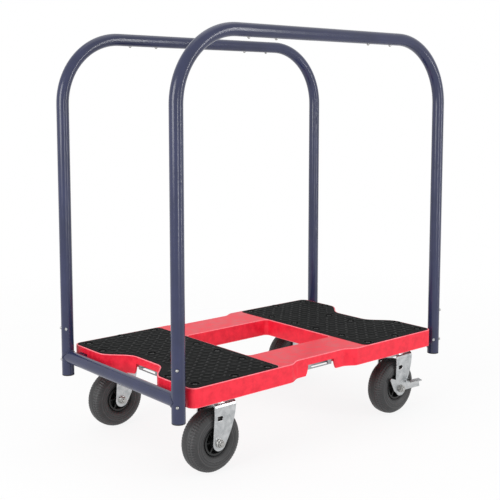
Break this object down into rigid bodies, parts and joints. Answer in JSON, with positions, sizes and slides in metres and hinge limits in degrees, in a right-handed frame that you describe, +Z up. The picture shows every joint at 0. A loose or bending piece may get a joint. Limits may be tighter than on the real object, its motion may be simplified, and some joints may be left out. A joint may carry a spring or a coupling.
{
  "type": "panel cart",
  "caption": "Low wheeled panel cart: moulded deck with tread pads and a central opening, swivel casters with side brakes, and tall inverted-U side bars that hold sheets on edge.",
  "frame": {"origin": "on the floor under the middle of the deck", "axes": "+X along the deck's length, +Y across it, +Z up"},
  "size_m": [0.9276, 0.532, 1.042],
  "materials": {
    "deck_plastic": "moulded satin, light grain",
    "pad_rubber": "matte, raised tread",
    "black_screws": "black oxide",
    "tyre_rubber": "matte",
    "hub_plastic": "moulded matte",
    "plug_plastic": "moulded matte",
    "tube_paint": "satin powder coat",
    "zinc_plate": "bright zinc plate",
    "button_steel": "polished nickel plate",
    "bolt_steel": "zinc plate"
  },
  "bodies": {
    "chassis": {"deck": "deck_plastic", "tread_pad_left": "pad_rubber", "tread_pad_right": "pad_rubber", "pad_screws": "black_screws", "strap_anchors": "zinc_plate", "anchor_screws": "bolt_steel", "end_frame_left": "tube_paint", "end_frame_right": "tube_paint", "frame_bolts": "bolt_steel", "post_plugs": "plug_plastic", "top_sleeves": "zinc_plate", "leg_sleeves": "zinc_plate", "caster_bolts": "bolt_steel", "kingpins": "bolt_steel", "swivel_balls": "bolt_steel", "front_bend_left": "tube_paint", "front_top_tube": "tube_paint", "front_bend_right": "tube_paint", "back_bend_left": "tube_paint", "back_top_tube": "tube_paint", "back_bend_right": "tube_paint", "caster_plate_front_left": "zinc_plate", "caster_plate_front_right": "zinc_plate", "caster_plate_back_left": "zinc_plate", "caster_plate_back_right": "zinc_plate"},
    "caster_front_left": {"fork_front_left": "zinc_plate", "axle_front_left": "bolt_steel"},
    "wheel_front_left": {"rim_front_left": "hub_plastic", "tyre_front_left": "tyre_rubber"},
    "caster_front_right": {"fork_front_right": "zinc_plate", "axle_front_right": "bolt_steel"},
    "wheel_front_right": {"rim_front_right": "hub_plastic", "tyre_front_right": "tyre_rubber"},
    "brake_front_right": {"brake_lever_front_right": "zinc_plate"},
    "caster_back_left": {"fork_back_left": "zinc_plate", "axle_back_left": "bolt_steel"},
    "wheel_back_left": {"rim_back_left": "hub_plastic", "tyre_back_left": "tyre_rubber"},
    "caster_back_right": {"fork_back_right": "zinc_plate", "axle_back_right": "bolt_steel"},
    "wheel_back_right": {"rim_back_right": "hub_plastic", "tyre_back_right": "tyre_rubber"},
    "brake_back_right": {"brake_lever_back_right": "zinc_plate"},
    "leg_button_front_left_upper": {"leg_button_front_left_upper": "button_steel"},
    "leg_button_front_left_lower": {"leg_button_front_left_lower": "button_steel"},
    "leg_button_front_right_upper": {"leg_button_front_right_upper": "button_steel"},
    "leg_button_front_right_lower": {"leg_button_front_right_lower": "button_steel"},
    "leg_button_back_left_upper": {"leg_button_back_left_upper": "button_steel"},
    "leg_button_back_left_lower": {"leg_button_back_left_lower": "button_steel"},
    "leg_button_back_right_upper": {"leg_button_back_right_upper": "button_steel"},
    "leg_button_back_right_lower": {"leg_button_back_right_lower": "button_steel"},
    "top_button_front_a": {"top_button_front_a": "button_steel"},
    "top_button_front_b": {"top_button_front_b": "button_steel"},
    "top_button_front_c": {"top_button_front_c": "button_steel"},
    "top_button_front_d": {"top_button_front_d": "button_steel"},
    "top_button_back_a": {"top_button_back_a": "button_steel"},
    "top_button_back_b": {"top_button_back_b": "button_steel"},
    "top_button_back_c": {"top_button_back_c": "button_steel"},
    "top_button_back_d": {"top_button_back_d": "button_steel"}
  },
  "joints": [
    {"name": "swivel_front_left", "type": "hinge", "parent": "chassis", "child": "caster_front_left", "pos_m": [-0.319, -0.207, 0.172], "axis": [0, 0, 1], "continuous": true},
    {"name": "roll_front_left", "type": "hinge", "parent": "caster_front_left", "child": "wheel_front_left", "pos_m": [-0.329, -0.207, 0.076], "axis": [0, 1, 0], "continuous": true},
    {"name": "swivel_front_right", "type": "hinge", "parent": "chassis", "child": "caster_front_right", "pos_m": [0.319, -0.207, 0.172], "axis": [0, 0, 1], "continuous": true},
    {"name": "roll_front_right", "type": "hinge", "parent": "caster_front_right", "child": "wheel_front_right", "pos_m": [0.309, -0.207, 0.076], "axis": [0, 1, 0], "continuous": true},
    {"name": "brake_press_front_right", "type": "hinge", "parent": "caster_front_right", "child": "brake_front_right", "pos_m": [0.309, -0.207, 0.076], "axis": [0, 1, 0], "range_deg": [0, 35]},
    {"name": "swivel_back_left", "type": "hinge", "parent": "chassis", "child": "caster_back_left", "pos_m": [-0.319, 0.207, 0.172], "axis": [0, 0, 1], "continuous": true},
    {"name": "roll_back_left", "type": "hinge", "parent": "caster_back_left", "child": "wheel_back_left", "pos_m": [-0.329, 0.207, 0.076], "axis": [0, 1, 0], "continuous": true},
    {"name": "swivel_back_right", "type": "hinge", "parent": "chassis", "child": "caster_back_right", "pos_m": [0.319, 0.207, 0.172], "axis": [0, 0, 1], "continuous": true},
    {"name": "roll_back_right", "type": "hinge", "parent": "caster_back_right", "child": "wheel_back_right", "pos_m": [0.309, 0.207, 0.076], "axis": [0, 1, 0], "continuous": true},
    {"name": "brake_press_back_right", "type": "hinge", "parent": "caster_back_right", "child": "brake_back_right", "pos_m": [0.309, 0.207, 0.076], "axis": [0, 1, 0], "range_deg": [0, 35]},
    {"name": "press_leg_button_front_left_upper", "type": "slide", "parent": "chassis", "child": "leg_button_front_left_upper", "axis": [0.7071, 0.7071, 0], "range_m": [0, 0.0062], "stiffness_N_per_m": 800, "springref_m": -0.003},
    {"name": "press_leg_button_front_left_lower", "type": "slide", "parent": "chassis", "child": "leg_button_front_left_lower", "axis": [0.7071, 0.7071, 0], "range_m": [0, 0.0062], "stiffness_N_per_m": 800, "springref_m": -0.003},
    {"name": "press_leg_button_front_right_upper", "type": "slide", "parent": "chassis", "child": "leg_button_front_right_upper", "axis": [-0.7071, 0.7071, 0], "range_m": [0, 0.0062], "stiffness_N_per_m": 800, "springref_m": -0.003},
    {"name": "press_leg_button_front_right_lower", "type": "slide", "parent": "chassis", "child": "leg_button_front_right_lower", "axis": [-0.7071, 0.7071, 0], "range_m": [0, 0.0062], "stiffness_N_per_m": 800, "springref_m": -0.003},
    {"name": "press_leg_button_back_left_upper", "type": "slide", "parent": "chassis", "child": "leg_button_back_left_upper", "axis": [0.7071, -0.7071, 0], "range_m": [0, 0.0062], "stiffness_N_per_m": 800, "springref_m": -0.003},
    {"name": "press_leg_button_back_left_lower", "type": "slide", "parent": "chassis", "child": "leg_button_back_left_lower", "axis": [0.7071, -0.7071, 0], "range_m": [0, 0.0062], "stiffness_N_per_m": 800, "springref_m": -0.003},
    {"name": "press_leg_button_back_right_upper", "type": "slide", "parent": "chassis", "child": "leg_button_back_right_upper", "axis": [-0.7071, -0.7071, 0], "range_m": [0, 0.0062], "stiffness_N_per_m": 800, "springref_m": -0.003},
    {"name": "press_leg_button_back_right_lower", "type": "slide", "parent": "chassis", "child": "leg_button_back_right_lower", "axis": [-0.7071, -0.7071, 0], "range_m": [0, 0.0062], "stiffness_N_per_m": 800, "springref_m": -0.003},
    {"name": "press_top_button_front_a", "type": "slide", "parent": "chassis", "child": "top_button_front_a", "axis": [0, 0, 1], "range_m": [0, 0.0062], "stiffness_N_per_m": 800, "springref_m": -0.003},
    {"name": "press_top_button_front_b", "type": "slide", "parent": "chassis", "child": "top_button_front_b", "axis": [0, 0, 1], "range_m": [0, 0.0062], "stiffness_N_per_m": 800, "springref_m": -0.003},
    {"name": "press_top_button_front_c", "type": "slide", "parent": "chassis", "child": "top_button_front_c", "axis": [0, 0, 1], "range_m": [0, 0.0062], "stiffness_N_per_m": 800, "springref_m": -0.003},
    {"name": "press_top_button_front_d", "type": "slide", "parent": "chassis", "child": "top_button_front_d", "axis": [0, 0, 1], "range_m": [0, 0.0062], "stiffness_N_per_m": 800, "springref_m": -0.003},
    {"name": "press_top_button_back_a", "type": "slide", "parent": "chassis", "child": "top_button_back_a", "axis": [0, 0, 1], "range_m": [0, 0.0062], "stiffness_N_per_m": 800, "springref_m": -0.003},
    {"name": "press_top_button_back_b", "type": "slide", "parent": "chassis", "child": "top_button_back_b", "axis": [0, 0, 1], "range_m": [0, 0.0062], "stiffness_N_per_m": 800, "springref_m": -0.003},
    {"name": "press_top_button_back_c", "type": "slide", "parent": "chassis", "child": "top_button_back_c", "axis": [0, 0, 1], "range_m": [0, 0.0062], "stiffness_N_per_m": 800, "springref_m": -0.003},
    {"name": "press_top_button_back_d", "type": "slide", "parent": "chassis", "child": "top_button_back_d", "axis": [0, 0, 1], "range_m": [0, 0.0062], "stiffness_N_per_m": 800, "springref_m": -0.003}
  ]
}
